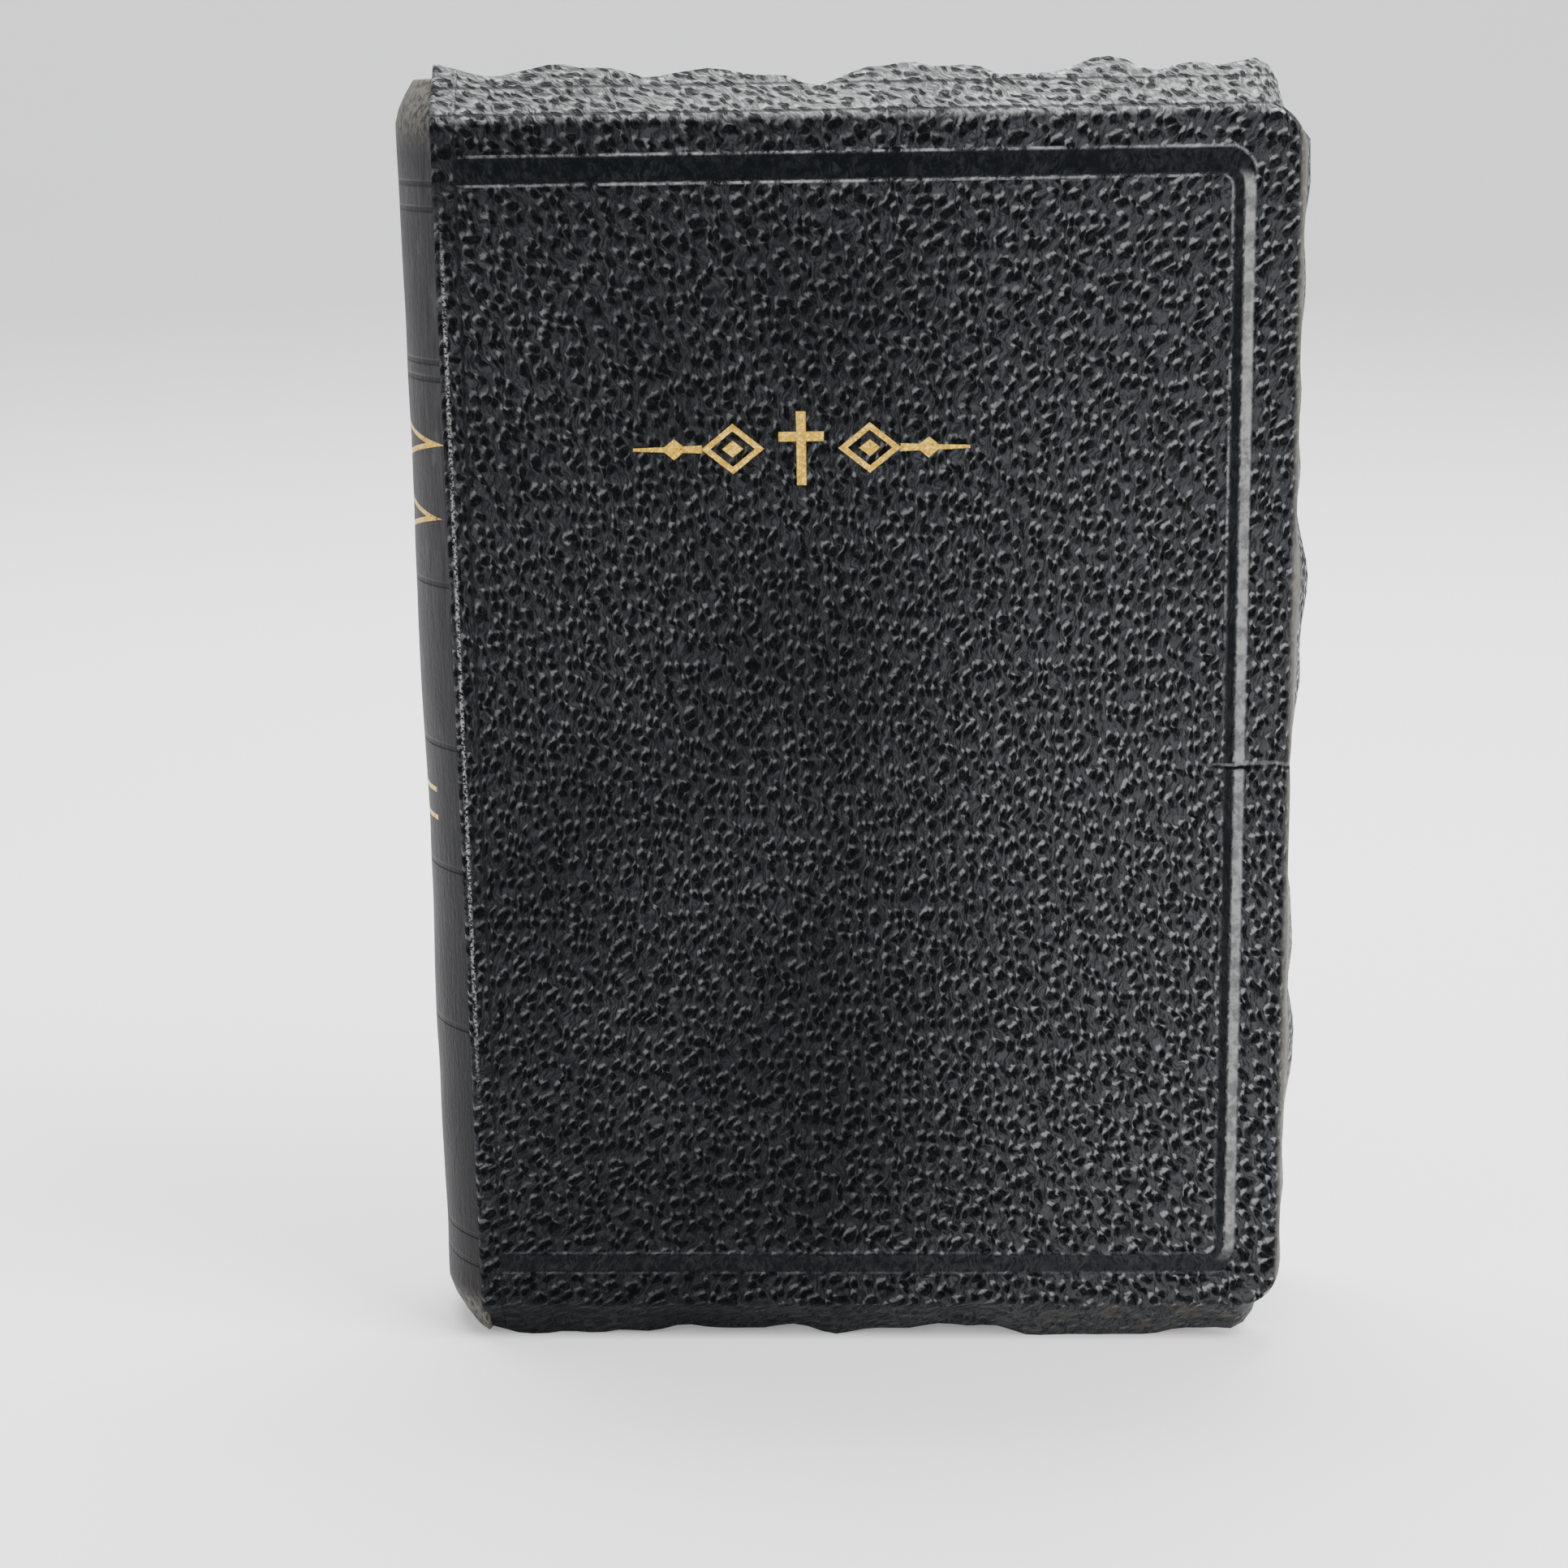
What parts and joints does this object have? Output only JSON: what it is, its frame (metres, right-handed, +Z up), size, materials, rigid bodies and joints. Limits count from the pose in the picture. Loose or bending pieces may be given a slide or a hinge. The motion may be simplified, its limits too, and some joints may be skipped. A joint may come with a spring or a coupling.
{
  "type": "bible",
  "caption": "Leather-bound bible standing upright: limp covers with edges bent in over the pages, a rounded spine, a sewn text block, and covers and end leaves that turn.",
  "frame": {"origin": "under the middle of the closed book's outer box, on the surface it stands on", "axes": "+Z up the spine from tail to head, front cover faces -Y, spine at -X, fore edge at +X"},
  "size_m": [0.14, 0.0336, 0.2042],
  "materials": {
    "black_leather": "pebble-grained, semi-gloss on the ridges",
    "card": "matt",
    "endpaper": "matt, faint leather emboss",
    "bible_paper": "thin and matt, edges stained red",
    "mull_cloth": "open weave, matt",
    "kraft_lining": "matt",
    "linen_thread": "matt",
    "band_cloth": "woven, slight sheen"
  },
  "bodies": {
    "text_block": {"section_01": "bible_paper", "section_02": "bible_paper", "section_03": "bible_paper", "section_04": "bible_paper", "section_05": "bible_paper", "section_06": "bible_paper", "section_07": "bible_paper", "section_08": "bible_paper", "section_09": "bible_paper", "section_10": "bible_paper", "section_11": "bible_paper", "section_12": "bible_paper", "section_13": "bible_paper", "section_14": "bible_paper", "section_15": "bible_paper", "section_16": "bible_paper", "section_17": "bible_paper", "section_18": "bible_paper", "section_19": "bible_paper", "section_20": "bible_paper", "sewing_thread_row_1": "linen_thread", "sewing_thread_row_2": "linen_thread", "sewing_thread_row_3": "linen_thread", "sewing_thread_row_4": "linen_thread", "mull": "mull_cloth", "spine_lining": "kraft_lining", "head_band": "band_cloth", "tail_band": "band_cloth", "spine_inlay": "card", "spine_leather": "black_leather"},
    "front_cover": {"front_cover_leather": "black_leather", "front_board": "card", "front_pastedown": "endpaper"},
    "back_cover": {"back_cover_leather": "black_leather", "back_board": "card", "back_pastedown": "endpaper"},
    "front_flyleaf_turn": {"front_flyleaf": "endpaper"},
    "first_leaf_turn": {"first_leaf": "bible_paper"},
    "second_leaf_turn": {"second_leaf": "bible_paper"},
    "back_flyleaf_turn": {"back_flyleaf": "endpaper"},
    "last_leaf_turn": {"last_leaf": "bible_paper"},
    "next_to_last_leaf_turn": {"next_to_last_leaf": "bible_paper"}
  },
  "joints": [
    {"name": "front_cover_hinge", "type": "hinge", "parent": "text_block", "child": "front_cover", "pos_m": [-0.06188, -0.01675, 0.10209], "axis": [0, 0, -1], "range_deg": [0, 175]},
    {"name": "back_cover_hinge", "type": "hinge", "parent": "text_block", "child": "back_cover", "pos_m": [-0.06188, 0.01675, 0.10209], "axis": [0, 0, 1], "range_deg": [0, 175]},
    {"name": "front_flyleaf_fold", "type": "hinge", "parent": "text_block", "child": "front_flyleaf_turn", "pos_m": [-0.06188, -0.01675, 0.10209], "axis": [0, 0, -1], "range_deg": [0, 170]},
    {"name": "first_leaf_fold", "type": "hinge", "parent": "text_block", "child": "first_leaf_turn", "pos_m": [-0.06188, -0.01675, 0.10209], "axis": [0, 0, -1], "range_deg": [0, 161]},
    {"name": "second_leaf_fold", "type": "hinge", "parent": "text_block", "child": "second_leaf_turn", "pos_m": [-0.06188, -0.01675, 0.10209], "axis": [0, 0, -1], "range_deg": [0, 153]},
    {"name": "back_flyleaf_fold", "type": "hinge", "parent": "text_block", "child": "back_flyleaf_turn", "pos_m": [-0.06188, 0.01675, 0.10209], "axis": [0, 0, 1], "range_deg": [0, 170]},
    {"name": "last_leaf_fold", "type": "hinge", "parent": "text_block", "child": "last_leaf_turn", "pos_m": [-0.06188, 0.01675, 0.10209], "axis": [0, 0, 1], "range_deg": [0, 161]},
    {"name": "next_to_last_leaf_fold", "type": "hinge", "parent": "text_block", "child": "next_to_last_leaf_turn", "pos_m": [-0.06188, 0.01675, 0.10209], "axis": [0, 0, 1], "range_deg": [0, 153]}
  ],
  "couplings": [
    {"joint": "front_flyleaf_fold", "follows": "front_cover_hinge", "ratio": 0.97},
    {"joint": "first_leaf_fold", "follows": "front_cover_hinge", "ratio": 0.92},
    {"joint": "second_leaf_fold", "follows": "front_cover_hinge", "ratio": 0.87},
    {"joint": "back_flyleaf_fold", "follows": "back_cover_hinge", "ratio": 0.97},
    {"joint": "last_leaf_fold", "follows": "back_cover_hinge", "ratio": 0.92},
    {"joint": "next_to_last_leaf_fold", "follows": "back_cover_hinge", "ratio": 0.87}
  ]
}
